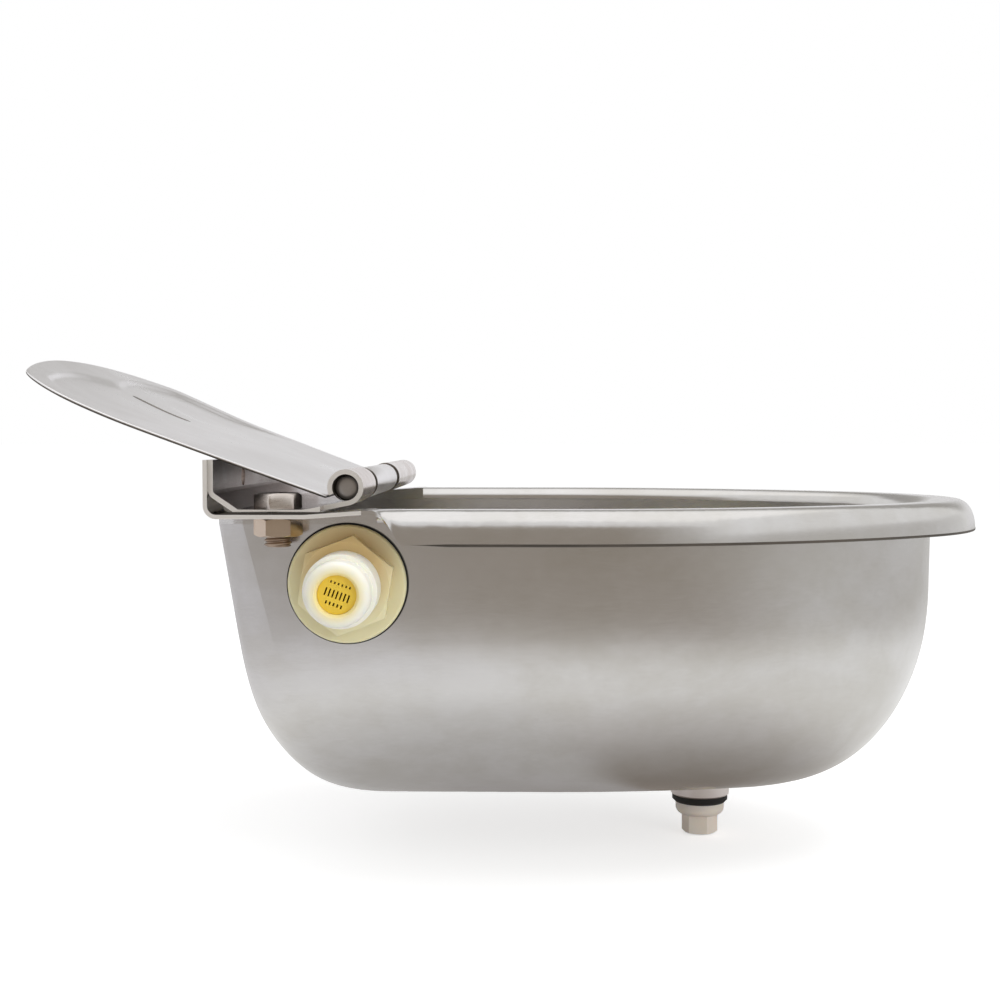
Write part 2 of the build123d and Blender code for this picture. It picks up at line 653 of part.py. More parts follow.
# ---- drain ----
def drain_boss():
    """Threaded boss welded under the pan, its spigot flush with the inside."""
    boss = Pos(0, 0, -boss_drop / 2.0) * Cylinder(boss_r, boss_drop)
    boss = chamfer(boss.edges().group_by(Axis.Z)[0], 0.6)
    spigot = Pos(0, 0, sheet / 2.0) * Cylinder(boss_spigot_r, sheet)
    boss = boss + spigot - Cylinder(drain_thread_r + drain_clearance, 60)
    return Pos(drain_x, 0, pan_bottom) * boss


def drain_washer():
    """Rubber washer between boss and plug, its lower edge bevelled."""
    top = pan_bottom - boss_drop - washer_gap
    washer = Cylinder(washer_r, washer_height) - Cylinder(drain_thread_r, washer_height)
    bevel = washer.edges().group_by(Axis.Z)[0].sort_by(SortBy.LENGTH)[-1]
    washer = chamfer(bevel, 0.9)
    return Pos(drain_x, 0, top - washer_height / 2.0) * washer


def drain_plug():
    """Moulded screw plug: thread, domed collar and hexagon."""
    top = pan_bottom - boss_drop - washer_gap - washer_height
    collar = Pos(0, 0, -plug_collar / 2.0) * Cylinder(plug_collar_r, plug_collar)
    collar = fillet(collar.edges().group_by(Axis.Z)[0], 2.6)
    hexagon = Pos(0, 0, -plug_collar) * Rot(180, 0, 0) * chamfered_hex(plug_flats, plug_hex, 12.0)
    thread_length = boss_drop + washer_height
    thread = Pos(0, 0, thread_length / 2.0) * Cylinder(drain_thread_r, thread_length)
    return Pos(drain_x, 0, top) * (collar + hexagon + thread)


def save(node, piece):
    """Lowers a piece so that the wall bolts are at Z = 0, and writes it as one node."""
    export_step(Pos(0, 0, -wall_hole_z) * piece, f"parts/{node}.step")


os.makedirs("parts", exist_ok=True)
pan = bowl_pan()
save("bowl_pan", pan)
save("lid_bracket", lid_bracket())
save("bracket_bolts", bracket_bolts())
save("bracket_nuts", bracket_nuts())
save("hinge_pin", hinge_pin())
save("lid", lid())
save("inlet_gasket", valve_frame * inlet_gasket() - pan)
save("inlet_lock_nut", valve_frame * inlet_lock_nut())
save("valve_gasket", valve_frame * valve_gasket() - pan)
save("valve_body", valve_frame * valve_body())
save("inlet_filter", valve_frame * inlet_filter())
save("valve_nozzle", valve_frame * valve_nozzle())
save("valve_piston", valve_frame * valve_piston())
save("piston_seal", valve_frame * piston_seal())
save("valve_cap", valve_frame * valve_cap())
save("arm_pivot_pin", valve_frame * arm_pivot_pin())
save("float_arm", valve_frame * float_arm())
save("float", valve_frame * float_block())
save("float_screw", valve_frame * float_screw())
save("drain_boss", drain_boss())
save("drain_washer", drain_washer())
save("drain_plug", drain_plug())
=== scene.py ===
import math

import bmesh
import bpy
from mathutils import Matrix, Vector


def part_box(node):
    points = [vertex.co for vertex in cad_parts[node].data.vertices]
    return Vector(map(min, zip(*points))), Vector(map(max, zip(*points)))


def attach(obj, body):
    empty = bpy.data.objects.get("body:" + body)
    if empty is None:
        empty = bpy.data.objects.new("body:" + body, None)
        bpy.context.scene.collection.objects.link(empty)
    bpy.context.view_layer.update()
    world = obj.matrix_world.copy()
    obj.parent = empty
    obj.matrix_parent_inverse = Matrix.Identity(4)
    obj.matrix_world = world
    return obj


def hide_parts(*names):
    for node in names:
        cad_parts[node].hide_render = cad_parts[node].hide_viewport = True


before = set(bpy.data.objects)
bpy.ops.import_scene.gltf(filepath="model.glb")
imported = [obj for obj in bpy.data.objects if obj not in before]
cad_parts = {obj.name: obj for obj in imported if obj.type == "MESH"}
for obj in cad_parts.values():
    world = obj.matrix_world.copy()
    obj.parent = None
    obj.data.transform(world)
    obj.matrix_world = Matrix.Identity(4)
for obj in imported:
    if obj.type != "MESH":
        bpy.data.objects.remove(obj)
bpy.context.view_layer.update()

# ---- studio ----
# A white table under a white sky. The two lamps are broad and soft, so that the bowl throws only a
# faint shadow on the table.

table_gap = 0.0005
floor_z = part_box("drain_plug")[0].z - table_gap


def flat_card(name, width, height, place, turn):
    """A flat card in its own XY plane, turned and put in place."""
    mesh = bpy.data.meshes.new(name)
    x, y = width / 2, height / 2
    mesh.from_pydata([(-x, -y, 0), (x, -y, 0), (x, y, 0), (-x, y, 0)], [], [(0, 1, 2, 3)])
    card = bpy.data.objects.new(name, mesh)
    card.location = place
    card.rotation_euler = turn
    bpy.context.scene.collection.objects.link(card)
    return card


def math_node(tree, operation, first, second=0.0, clamp=False):
    """A Math node whose inputs are sockets or plain numbers."""
    node = tree.nodes.new("ShaderNodeMath")
    node.operation = operation
    node.use_clamp = clamp
    for socket, value in zip(node.inputs, (first, second)):
        if isinstance(value, (int, float)):
            socket.default_value = value
        else:
            tree.links.new(value, socket)
    return node.outputs[0]


def seen_plainly(tree):
    """1 for rays from the camera, a mirror or glass, and 0 for those that light other things."""
    path = tree.nodes.new("ShaderNodeLightPath")
    mirrored = math_node(tree, "MAXIMUM", path.outputs["Is Glossy Ray"], path.outputs["Is Transmission Ray"])
    return math_node(tree, "MAXIMUM", path.outputs["Is Camera Ray"], mirrored)


table = flat_card("table", 60.0, 60.0, (0, 0, floor_z), (0, 0, 0))
table_white = bpy.data.materials.new("table_white")
table_white.use_nodes = True
tree = table_white.node_tree
tree.nodes.clear()
paint = tree.nodes.new("ShaderNodeBsdfDiffuse")
paint.inputs["Color"].default_value = (0.8, 0.8, 0.8, 1)
glow = tree.nodes.new("ShaderNodeEmission")
glow.inputs["Color"].default_value = (1, 1, 1, 1)
glow.inputs["Strength"].default_value = 0.58
whiter = tree.nodes.new("ShaderNodeAddShader")
tree.links.new(paint.outputs[0], whiter.inputs[0])
tree.links.new(glow.outputs[0], whiter.inputs[1])
choice = tree.nodes.new("ShaderNodeMixShader")
tree.links.new(seen_plainly(tree), choice.inputs[0])
tree.links.new(paint.outputs[0], choice.inputs[1])
tree.links.new(whiter.outputs[0], choice.inputs[2])
surface = tree.nodes.new("ShaderNodeOutputMaterial")
tree.links.new(choice.outputs[0], surface.inputs["Surface"])
table.data.materials.append(table_white)

sky = bpy.data.worlds.new("sky")
bpy.context.scene.world = sky
sky.use_nodes = True
tree = sky.node_tree
tree.nodes.clear()
choice = tree.nodes.new("ShaderNodeMixShader")
tree.links.new(seen_plainly(tree), choice.inputs[0])
for socket, strength in zip(choice.inputs[1:], (0.55, 1.0)):
    light = tree.nodes.new("ShaderNodeBackground")
    light.inputs["Color"].default_value = (1, 1, 1, 1)
    light.inputs["Strength"].default_value = strength
    tree.links.new(light.outputs[0], socket)
surface = tree.nodes.new("ShaderNodeOutputWorld")
tree.links.new(choice.outputs[0], surface.inputs["Surface"])

for name, place, aim, size, power in (
    ("overhead", (0.15, -0.1, 1.0), (0.1, 0, 0), 1.45, 6.5),
    ("right_front", (0.95, -0.8, 0.3), (0.1, 0, -0.05), 0.7, 4.2),
):
    lamp = bpy.data.lights.new(name, "AREA")
    lamp.shape = "DISK"
    lamp.size = size
    lamp.energy = power
    holder = bpy.data.objects.new(name, lamp)
    holder.location = place
    holder.rotation_euler = (Vector(aim) - Vector(place)).to_track_quat("-Z", "Y").to_euler()
    holder.visible_glossy = False
    bpy.context.scene.collection.objects.link(holder)

look_down, look_left = 0.04032, 0.02242
camera_data = bpy.data.cameras.new("camera")
camera_data.lens = 55.225
camera_data.sensor_width = 36.0
camera_data.clip_start = 0.01
camera = bpy.data.objects.new("camera", camera_data)
camera.location = (0.093, -0.53437, 0.01171)
camera.rotation_euler = (math.pi / 2 - look_down, 0, look_left)
bpy.context.scene.collection.objects.link(camera)
bpy.context.scene.camera = camera
bpy.context.scene.view_settings.view_transform = "Standard"


# ---- room that the steel reflects ----
# Glowing cards that only mirrors see are painted reflections of the rest of the room: the lit table,
# with the bowl's shadow painted dark under it and its light falling off away from it, the dim walls
# round it and the overhead lamp.

def card_material(card, tone, strength=1.0):
    """Makes a card glow for mirrors alone; tone is three numbers or a builder of a colour socket."""
    card.visible_camera = False
    card.visible_shadow = False
    card.visible_diffuse = False
    shine = bpy.data.materials.new(card.name)
    shine.use_nodes = True
    tree = shine.node_tree
    tree.nodes.clear()
    glow = tree.nodes.new("ShaderNodeEmission")
    glow.inputs["Strength"].default_value = strength
    if isinstance(tone, tuple):
        glow.inputs["Color"].default_value = (*tone, 1)
    else:
        where = tree.nodes.new("ShaderNodeTexCoord")
        split = tree.nodes.new("ShaderNodeSeparateXYZ")
        tree.links.new(where.outputs["Object"], split.inputs[0])
        tree.links.new(tone(tree, split), glow.inputs["Color"])
    surface = tree.nodes.new("ShaderNodeOutputMaterial")
    tree.links.new(glow.outputs[0], surface.inputs["Surface"])
    card.data.materials.append(shine)


def mapped(tree, value, start, end):
    """A smooth 0 to 1 between two values of a socket."""
    node = tree.nodes.new("ShaderNodeMapRange")
    node.interpolation_type = "SMOOTHSTEP"
    node.inputs["From Min"].default_value = start
    node.inputs["From Max"].default_value = end
    tree.links.new(value, node.inputs["Value"])
    return node.outputs["Result"]


def banded(tree, value, bands):
    """A colour that passes through tones as the value grows; each band is a value and its tone."""
    low, high = bands[0][0], bands[-1][0]
    ramp = tree.nodes.new("ShaderNodeValToRGB")
    points = ramp.color_ramp.elements
    while len(points) < len(bands):
        points.new(0.5)
    for point, (position, colour) in zip(points, bands):
        point.position = (position - low) / (high - low)
        point.color = (*colour, 1)
    along = tree.nodes.new("ShaderNodeMapRange")
    along.inputs["From Min"].default_value = low
    along.inputs["From Max"].default_value = high
    tree.links.new(value, along.inputs["Value"])
    tree.links.new(along.outputs["Result"], ramp.inputs["Fac"])
    return ramp.outputs["Color"]


def mixed(tree, factor, first, second):
    """A mix of two colours, each a socket or three numbers."""
    node = tree.nodes.new("ShaderNodeMix")
    node.data_type = "RGBA"
    for label, value in (("Factor", factor), ("A", first), ("B", second)):
        if isinstance(value, tuple):
            node.inputs[label].default_value = (*value, 1)
        else:
            tree.links.new(value, node.inputs[label])
    return node.outputs["Result"]


room_tone = (0.375, 0.335, 0.29)
near_tone = (0.95, 0.945, 0.935)


def table_reflection(tree, split):
    """Tone by distance from the bowl, a painted reflection: dark under and before it with the bowl's painted
    shadow, paler behind it and at its right.
    """
    straight_start, straight_end, wall_stretch = 0.08, 0.13, 1.3
    past_nose = math_node(tree, "MAXIMUM", math_node(tree, "SUBTRACT", split.outputs["X"], straight_end))
    past_wall = math_node(tree, "MINIMUM", math_node(tree, "SUBTRACT", split.outputs["X"], straight_start))
    along_x = math_node(tree, "ADD", past_nose, math_node(tree, "MULTIPLY", past_wall, wall_stretch))
    squares = math_node(tree, "ADD", math_node(tree, "MULTIPLY", along_x, along_x),
                        math_node(tree, "MULTIPLY", split.outputs["Y"], split.outputs["Y"]))
    away = math_node(tree, "SQRT", squares)
    before = banded(tree, away, (
        (0.0, (0.27, 0.235, 0.205)), (0.04, (0.28, 0.25, 0.225)), (0.07, (0.41, 0.385, 0.36)),
        (0.10, (0.66, 0.64, 0.62)), (0.14, near_tone), (0.20, near_tone), (0.30, (0.76, 0.74, 0.71)),
        (0.44, (0.48, 0.445, 0.405)), (0.54, room_tone), (3.0, room_tone)))
    beside = banded(tree, away, (
        (0.0, (0.30, 0.28, 0.26)), (0.07, (0.52, 0.50, 0.48)), (0.11, (0.86, 0.85, 0.83)),
        (0.15, (1.0, 1.0, 0.99)), (0.3, (1.0, 1.0, 0.99)), (0.55, (0.76, 0.75, 0.735)),
        (0.9, (0.66, 0.65, 0.635)), (3.0, (0.66, 0.65, 0.635))))
    ahead = math_node(tree, "SUBTRACT", 0.02, split.outputs["Y"])
    turned = math_node(tree, "ARCTAN2", math_node(tree, "SUBTRACT", split.outputs["X"], 0.14), ahead)
    behind = banded(tree, away, (
        (0.0, (0.34, 0.32, 0.31)), (0.09, (0.62, 0.61, 0.60)), (0.15, near_tone), (0.25, (0.86, 0.85, 0.86)),
        (0.45, (0.72, 0.71, 0.73)), (3.0, (0.70, 0.69, 0.71))))
    front = mixed(tree, mapped(tree, turned, -0.16, -0.44), before, behind)
    return mixed(tree, mapped(tree, turned, 0.45, 1.25), front, beside)


card_material(flat_card("table_card", 6.0, 6.0, (0, 0, floor_z + 0.0003), (0, 0, 0)), table_reflection)


def wall_tones(bands, fade, end_tone):
    """A builder of a wall's colour: tones up its height, which fade to one tone along its width."""
    def build(tree, split):
        up = banded(tree, split.outputs["Y"], bands)
        return mixed(tree, mapped(tree, split.outputs["X"], *fade), up, end_tone)
    return build


side_tone = (0.68, 0.67, 0.655)
upright = math.radians(90)
card_material(
    flat_card("front_card", 5.0, 2.4, (-0.3, -2.6, 1.05), (upright, 0, 0)),
    wall_tones(((-1.2, room_tone), (0.75, room_tone), (1.2, (0.85, 0.84, 0.82))), (1.2, 2.4), side_tone))
card_material(
    flat_card("right_card", 5.0, 0.9, (2.6, -0.4, 0.3), (upright, 0, upright)),
    wall_tones(((-0.45, side_tone), (0.2, side_tone), (0.45, (0.9, 0.9, 0.9))), (0.2, 2.2), (0.85, 0.85, 0.85)))
card_material(
    flat_card("back_card", 6.0, 3.4, (0, 2.9, 1.55), (upright, 0, 2 * upright)),
    wall_tones(((-1.7, (0.86, 0.855, 0.87)), (-1.0, (0.95, 0.945, 0.96)), (-0.5, (0.5, 0.49, 0.47)),
                (1.2, (0.42, 0.41, 0.39)), (1.7, (0.8, 0.8, 0.8))), (2.0, 3.0), (0.8, 0.8, 0.8)))
card_material(flat_card("lamp_card", 1.4, 1.4, (0.15, -0.1, 1.02), (0, 0, 0)), (1.0, 0.9923, 0.9846), 1.3)


# ---- bowl pan ----
# Drawn from 1.2 mm stainless sheet with the mill's satin finish. Pressing and polishing leave soft
# clouds in its shine and a fine drawn grain, and its sheared ends at the back are paler and duller.

def new_group(name, inputs, outputs):
    """An empty node group with named inputs and outputs, and its two end nodes."""
    group = bpy.data.node_groups.new(name, "ShaderNodeTree")
    for label, kind, value in inputs:
        socket = group.interface.new_socket(label, in_out="INPUT", socket_type=kind)
        socket.default_value = value
    for label, kind in outputs:
        group.interface.new_socket(label, in_out="OUTPUT", socket_type=kind)
    return group, group.nodes.new("NodeGroupInput"), group.nodes.new("NodeGroupOutput")


def noise_node(tree, vector, scale, detail, roughness=0.5, distortion=0.0):
    """The factor of a Noise texture."""
    node = tree.nodes.new("ShaderNodeTexNoise")
    node.inputs["Scale"].default_value = scale
    node.inputs["Detail"].default_value = detail
    node.inputs["Roughness"].default_value = roughness
    node.inputs["Distortion"].default_value = distortion
    tree.links.new(vector, node.inputs["Vector"])
    return node.outputs["Fac"]


def stretched(tree, stretch):
    """Object coordinates times three numbers, so that a texture is drawn out where they are small."""
    place = tree.nodes.new("ShaderNodeTexCoord")
    squeeze = tree.nodes.new("ShaderNodeVectorMath")
    squeeze.operation = "MULTIPLY"
    squeeze.inputs[1].default_value = stretch
    tree.links.new(place.outputs["Object"], squeeze.inputs[0])
    return squeeze.outputs[0]


satin, ends_in, ends_out = new_group(
    "satin_sheet",
    [("Colour", "NodeSocketColor", (0.6, 0.6, 0.6, 1)), ("Cloud Tint", "NodeSocketColor", (0.6, 0.56, 0.5, 1)),
     ("Roughness", "NodeSocketFloat", 0.3), ("Cloud", "NodeSocketFloat", 0.1),
     ("Grain", "NodeSocketFloat", 0.1), ("Sheared", "NodeSocketFloat", 0.0)],
    [("Colour", "NodeSocketColor"), ("Roughness", "NodeSocketFloat"), ("Height", "NodeSocketFloat")],
)
even = (1.0, 1.0, 1.0)
clouds = noise_node(satin, stretched(satin, (1.0, 1.0, 2.2)), 14.0, 5.0, 0.55, 0.4)
patches = noise_node(satin, stretched(satin, even), 70.0, 4.0, 0.6)
grain = noise_node(satin, stretched(satin, (0.16, 0.16, 3.0)), 1900.0, 3.0, 0.6)
fine = noise_node(satin, stretched(satin, even), 1500.0, 2.0, 0.6)


def swing(tree, noise, amount):
    """A noise centred on zero and scaled by a socket or a number."""
    return math_node(tree, "MULTIPLY", math_node(tree, "SUBTRACT", noise, 0.5), amount)


cloud, grain_depth = ends_in.outputs["Cloud"], ends_in.outputs["Grain"]
uneven = math_node(satin, "ADD", swing(satin, clouds, cloud),
                   swing(satin, patches, math_node(satin, "MULTIPLY", cloud, 0.5)))
rough = math_node(satin, "ADD", ends_in.outputs["Roughness"], uneven)
rough = math_node(satin, "ADD", rough, swing(satin, grain, grain_depth), clamp=True)
both_clouds = math_node(satin, "ADD", math_node(satin, "MULTIPLY", clouds, 0.65),
                        math_node(satin, "MULTIPLY", patches, 0.35))
tinted = mixed(satin, mapped(satin, both_clouds, 0.36, 0.64),
               ends_in.outputs["Colour"], ends_in.outputs["Cloud Tint"])
streaked = satin.nodes.new("ShaderNodeVectorMath")
streaked.operation = "SCALE"
satin.links.new(tinted, streaked.inputs[0])
streaks = swing(satin, grain, math_node(satin, "MULTIPLY", grain_depth, 1.2))
satin.links.new(math_node(satin, "ADD", streaks, 1.0), streaked.inputs["Scale"])

shape = satin.nodes.new("ShaderNodeNewGeometry")
facing, spot = (satin.nodes.new("ShaderNodeSeparateXYZ") for _ in range(2))
satin.links.new(shape.outputs["True Normal"], facing.inputs[0])
satin.links.new(shape.outputs["Position"], spot.inputs[0])
side_facing, side_start, ramp_end = 0.95, 0.0965, 0.0445
sideways = math_node(satin, "GREATER_THAN", math_node(satin, "ABSOLUTE", facing.outputs["Y"]), side_facing)
at_side = math_node(satin, "GREATER_THAN", math_node(satin, "ABSOLUTE", spot.outputs["Y"]), side_start)
at_back = math_node(satin, "LESS_THAN", spot.outputs["X"], ramp_end)
cut = math_node(satin, "MULTIPLY", math_node(satin, "MULTIPLY", sideways, at_side),
                math_node(satin, "MULTIPLY", at_back, ends_in.outputs["Sheared"]))
satin.links.new(mixed(satin, cut, streaked.outputs[0], (0.93, 0.91, 0.88)), ends_out.inputs["Colour"])
satin.links.new(math_node(satin, "ADD", rough, math_node(satin, "MULTIPLY", cut, 0.3), clamp=True),
                ends_out.inputs["Roughness"])
satin.links.new(math_node(satin, "ADD", math_node(satin, "MULTIPLY", grain, 0.6),
                          math_node(satin, "MULTIPLY", fine, 0.4)), ends_out.inputs["Height"])


def skinned(name, group, values, bump):
    """A material with a group in it, its shader, and the group's roughness and fine relief linked."""
    relief = 0.00002
    material = bpy.data.materials.new(name)
    material.use_nodes = True
    tree = material.node_tree
    shader = tree.nodes["Principled BSDF"]
    skin = tree.nodes.new("ShaderNodeGroup")
    skin.node_tree = group
    for label, value in values.items():
        skin.inputs[label].default_value = value
    raised = tree.nodes.new("ShaderNodeBump")
    raised.inputs["Strength"].default_value = bump
    raised.inputs["Distance"].default_value = relief
    tree.links.new(skin.outputs["Roughness"], shader.inputs["Roughness"])
    tree.links.new(skin.outputs["Height"], raised.inputs["Height"])
    tree.links.new(raised.outputs["Normal"], shader.inputs["Normal"])
    return material, shader, skin


def steel(name, colour, cloud_tint, roughness, cloud, grain, bump, sheared=0.0):
    """A satin steel of its own tint, shine and grain; sheared brightens the sheet's cut ends."""
    values = {"Colour": (*colour, 1), "Cloud Tint": (*cloud_tint, 1), "Roughness": roughness,
              "Cloud": cloud, "Grain": grain, "Sheared": sheared}
    material, shader, skin = skinned(name, satin, values, bump)
    shader.inputs["Metallic"].default_value = 1.0
    material.node_tree.links.new(skin.outputs["Colour"], shader.inputs["Base Color"])
    return material


def finish_node(node, material):
    """Gives a CAD node its material."""
    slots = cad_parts[node].data.materials
    slots.clear()
    slots.append(material)


pan_steel = steel("pan_steel", (0.635, 0.625, 0.62), (0.565, 0.55, 0.525), 0.21, 0.14, 0.10, 0.25, 1.0)
finish_node("bowl_pan", pan_steel)


# ---- lid bracket ----
# A strip of 1.4 mm stainless, bent up at the back, slanted at the corner and rolled round the hinge
# pin at the front. Two bolts hold it on the shelf. It is browner in its clouds than the pan.

bracket_steel = steel("bracket_steel", (0.66, 0.62, 0.60), (0.46, 0.37, 0.33), 0.2, 0.14, 0.12, 0.2, 1.0)
finish_node("lid_bracket", bracket_steel)


# ---- bracket nuts ----
# M8 hexagon nuts, cold formed, with the warm tint of plated steel. They pull the bracket's bolts tight
# from under the shelf.

nut_steel = steel("nut_steel", (0.66, 0.55, 0.45), (0.38, 0.26, 0.18), 0.22, 0.2, 0.06, 0.3)
finish_node("bracket_nuts", nut_steel)


# ---- pins and float screw ----
# Turned from stainless rod, and duller than the sheet. The long pin goes through the rolls of bracket
# and lid, the short one carries the float's lever, and the screw holds the float to its arm.

pin_steel = steel("pin_steel", (0.50, 0.48, 0.46), (0.36, 0.33, 0.31), 0.38, 0.2, 0.16, 0.3)
for node in ("hinge_pin", "arm_pivot_pin", "float_screw"):
    finish_node(node, pin_steel)


# ---- drain boss ----
# A turned stainless ring with a thread for the plug, paler and duller than the sheet. It is welded
# under the lowest part of the bowl.

boss_steel = steel("boss_steel", (0.80, 0.76, 0.74), (0.70, 0.64, 0.62), 0.38, 0.12, 0.1, 0.2)
finish_node("drain_boss", boss_steel)


# ---- lock nut, valve and strainer ----
# Injection-moulded nylon. The mould leaves a faintly pebbled skin, the colour drifts a little with the
# flow of the melt, and light goes in under the skin. The lock nut clamps the valve to the side wall.

moulded, ends_in, ends_out = new_group(
    "moulded_skin",
    [("Colour", "NodeSocketColor", (0.8, 0.8, 0.8, 1)), ("Deep Colour", "NodeSocketColor", (0.7, 0.6, 0.4, 1)),
     ("Roughness", "NodeSocketFloat", 0.4)],
    [("Colour", "NodeSocketColor"), ("Roughness", "NodeSocketFloat"), ("Height", "NodeSocketFloat")],
)
flow = noise_node(moulded, stretched(moulded, even), 90.0, 3.0, 0.5, 0.6)
pebble = noise_node(moulded, stretched(moulded, even), 2600.0, 2.0, 0.5)
moulded.links.new(mixed(moulded, flow, ends_in.outputs["Colour"], ends_in.outputs["Deep Colour"]),
                  ends_out.inputs["Colour"])
moulded.links.new(math_node(moulded, "ADD", ends_in.outputs["Roughness"], swing(moulded, flow, 0.2), clamp=True),
                  ends_out.inputs["Roughness"])
moulded.links.new(pebble, ends_out.inputs["Height"])


def plastic(name, colour, deep_colour, roughness, bump, glow_depth=0.0, halo=None):
    """A moulded plastic; glow_depth in metres lets light in under the skin.

    halo is a centre, two distances from it and a colour painted on within them.
    """
    values = {"Colour": (*colour, 1), "Deep Colour": (*deep_colour, 1), "Roughness": roughness}
    material, shader, skin = skinned(name, moulded, values, bump)
    tree = material.node_tree
    colour_out = skin.outputs["Colour"]
    if halo:
        centre, start, end, shine = halo
        place = tree.nodes.new("ShaderNodeTexCoord")
        away = tree.nodes.new("ShaderNodeVectorMath")
        away.operation = "DISTANCE"
        away.inputs[1].default_value = centre
        tree.links.new(place.outputs["Object"], away.inputs[0])
        colour_out = mixed(tree, mapped(tree, away.outputs["Value"], start, end), shine, colour_out)
    tree.links.new(colour_out, shader.inputs["Base Color"])
    shader.inputs["Subsurface Weight"].default_value = 0.4 if glow_depth else 0.0
    shader.inputs["Subsurface Radius"].default_value = (1.0, 0.8, 0.45)
    shader.inputs["Subsurface Scale"].default_value = glow_depth
    return material


ivory = plastic("ivory_nylon", (0.84, 0.79, 0.55), (0.80, 0.73, 0.44), 0.38, 0.3, 0.003)
for node in ("valve_piston", "valve_cap"):
    finish_node(node, ivory)

# Next to the valve's tube the nut is painted darker and warmer: painted shade.
nut_ivory = plastic("nut_ivory", (0.80, 0.75, 0.50), (0.78, 0.70, 0.42), 0.38, 0.3, 0.003,
                    ((0.0389, -0.099, -0.024), 0.006, 0.019, (0.70, 0.50, 0.22)))
finish_node("inlet_lock_nut", nut_ivory)

white_nylon = plastic("white_nylon", (0.95, 0.93, 0.85), (0.94, 0.90, 0.78), 0.36, 0.3, 0.003,
                      ((0.0389, -0.1155, -0.0312), 0.0050, 0.0092, (0.92, 0.74, 0.26)))
for node in ("valve_body", "valve_nozzle", "float_arm"):
    finish_node(node, white_nylon)

yellow = plastic("yellow_plastic", (0.90, 0.66, 0.06), (0.86, 0.56, 0.03), 0.35, 0.2)
finish_node("inlet_filter", yellow)


# ---- float ----
# A hollow block, moulded in off-white plastic and sealed. The float screw fixes it under the end of
# its arm.

float_skin = plastic("float_skin", (0.86, 0.86, 0.83), (0.80, 0.80, 0.76), 0.42, 0.4)
finish_node("float", float_skin)


# ---- drain plug ----
# Moulded in ivory plastic, with a domed collar and a hexagon for a spanner. It screws up into the boss
# from below.

plug_skin = plastic("plug_plastic", (0.95, 0.88, 0.80), (0.93, 0.78, 0.66), 0.45, 0.4, 0.003)
finish_node("drain_plug", plug_skin)


# ---- gaskets, piston seal and washer ----
# Cut and moulded from black rubber, matt and a little uneven. They are squeezed tight between the
# pieces that they seal.

rubber = plastic("black_rubber", (0.008, 0.008, 0.008), (0.014, 0.013, 0.012), 0.7, 0.6)
for node in ("inlet_gasket", "valve_gasket", "piston_seal", "drain_washer"):
    finish_node(node, rubber)


# ---- lid ----
# A satin steel plate 1 mm thick, blanked to a D, curled up at the front and pressed down softly inside
# its border, with a plain pressed bead in the middle. Its knuckle is rolled round the hinge pin.

mm = 0.001
hinge_x, hinge_z, lid_lean = 39.0, -2.4, math.radians(20.6)
lid_sheet, plate_top, plate_start = 1.0, -3.85, 4.1
front_centre, front_r = -226.0, 338.0
corner_y, corner_r = 83.0, 24.0
hinge_half, side_half = 97.9, 107.0
curl_start, curl_r = 60.0, 265.0
panel_drop, panel_border, panel_fade = 1.3, (12.0, 17.0), (40.0, 80.0)
bead_x, bead_half, bead_drop, bead_flank = 80.0, 8.2, 0.95, (2.2, 2.7)


def lid_place(x, y, z):
    """From the lid's own axes, x away from the hinge and z up through the plate, to the open lid."""
    return Vector((hinge_x - x * math.cos(lid_lean) + z * math.sin(lid_lean), y,
                   hinge_z + x * math.sin(lid_lean) + z * math.cos(lid_lean))) * mm


def arc_points(centre, radius, start, end, count):
    """Points along an arc, ends included; angles in radians."""
    turns = [start + (end - start) * step / count for step in range(count + 1)]
    return [(centre[0] + radius * math.cos(turn), centre[1] + radius * math.sin(turn)) for turn in turns]


def lid_outline():
    """The lid's edge from the middle of its front to the middle of its hinge side, for positive y."""
    corner_x = front_centre + math.sqrt((front_r - corner_r) ** 2 - corner_y ** 2)
    lean = math.atan2(corner_y, corner_x - front_centre)
    points = arc_points((front_centre, 0.0), front_r, 0.0, lean, 24)
    points += arc_points((corner_x, corner_y), corner_r, lean, math.radians(90), 24)[1:]
    for step in range(1, 25):
        share = 1.0 - step / 24.0
        points.append((plate_start + (corner_x - plate_start) * share,
                       hinge_half + (side_half - hinge_half) * (1.0 - (1.0 - share) ** 2)))
    points += [(plate_start, hinge_half * (1.0 - step / 16.0)) for step in range(1, 17)]
    return points


def smooth(value, start, end):
    """A smooth 0 to 1 as value goes from start to end."""
    share = min(max((value - start) / (end - start), 0.0), 1.0)
    return share * share * (3.0 - 2.0 * share)


def bead_distance(x, y):
    """Distance from the bead's centre line, which runs away from the hinge."""
    return math.hypot(max(abs(x - bead_x) - bead_half, 0.0), y)


def lid_top(x, y, border):
    """Height of the lid's upper face: the plate, its curl, the panel inside its border and the bead."""
    height = plate_top
    if x > curl_start:
        height += curl_r - math.sqrt(curl_r ** 2 - (x - curl_start) ** 2)
    height -= panel_drop * smooth(border, *panel_border) * smooth(x, *panel_fade)
    return height - bead_drop * (1.0 - smooth(bead_distance(x, y), *bead_flank))


def ray_reach(points, centre, angle):
    """Distance from the centre to a closed outline along a direction."""
    across = Vector((math.cos(angle), math.sin(angle)))
    for (x0, y0), (x1, y1) in zip(points, points[1:] + points[:1]):
        edge = Vector((x1 - x0, y1 - y0))
        away = Vector((x0 - centre[0], y0 - centre[1]))
        turn = across.x * edge.y - across.y * edge.x
        if abs(turn) < 1e-9:
            continue
        reach = (away.x * edge.y - away.y * edge.x) / turn
        along = (away.x * across.y - away.y * across.x) / turn
        if reach > 0.0 and -1e-6 <= along <= 1.0 + 1e-6:
            return reach
    raise ValueError("no edge that way")


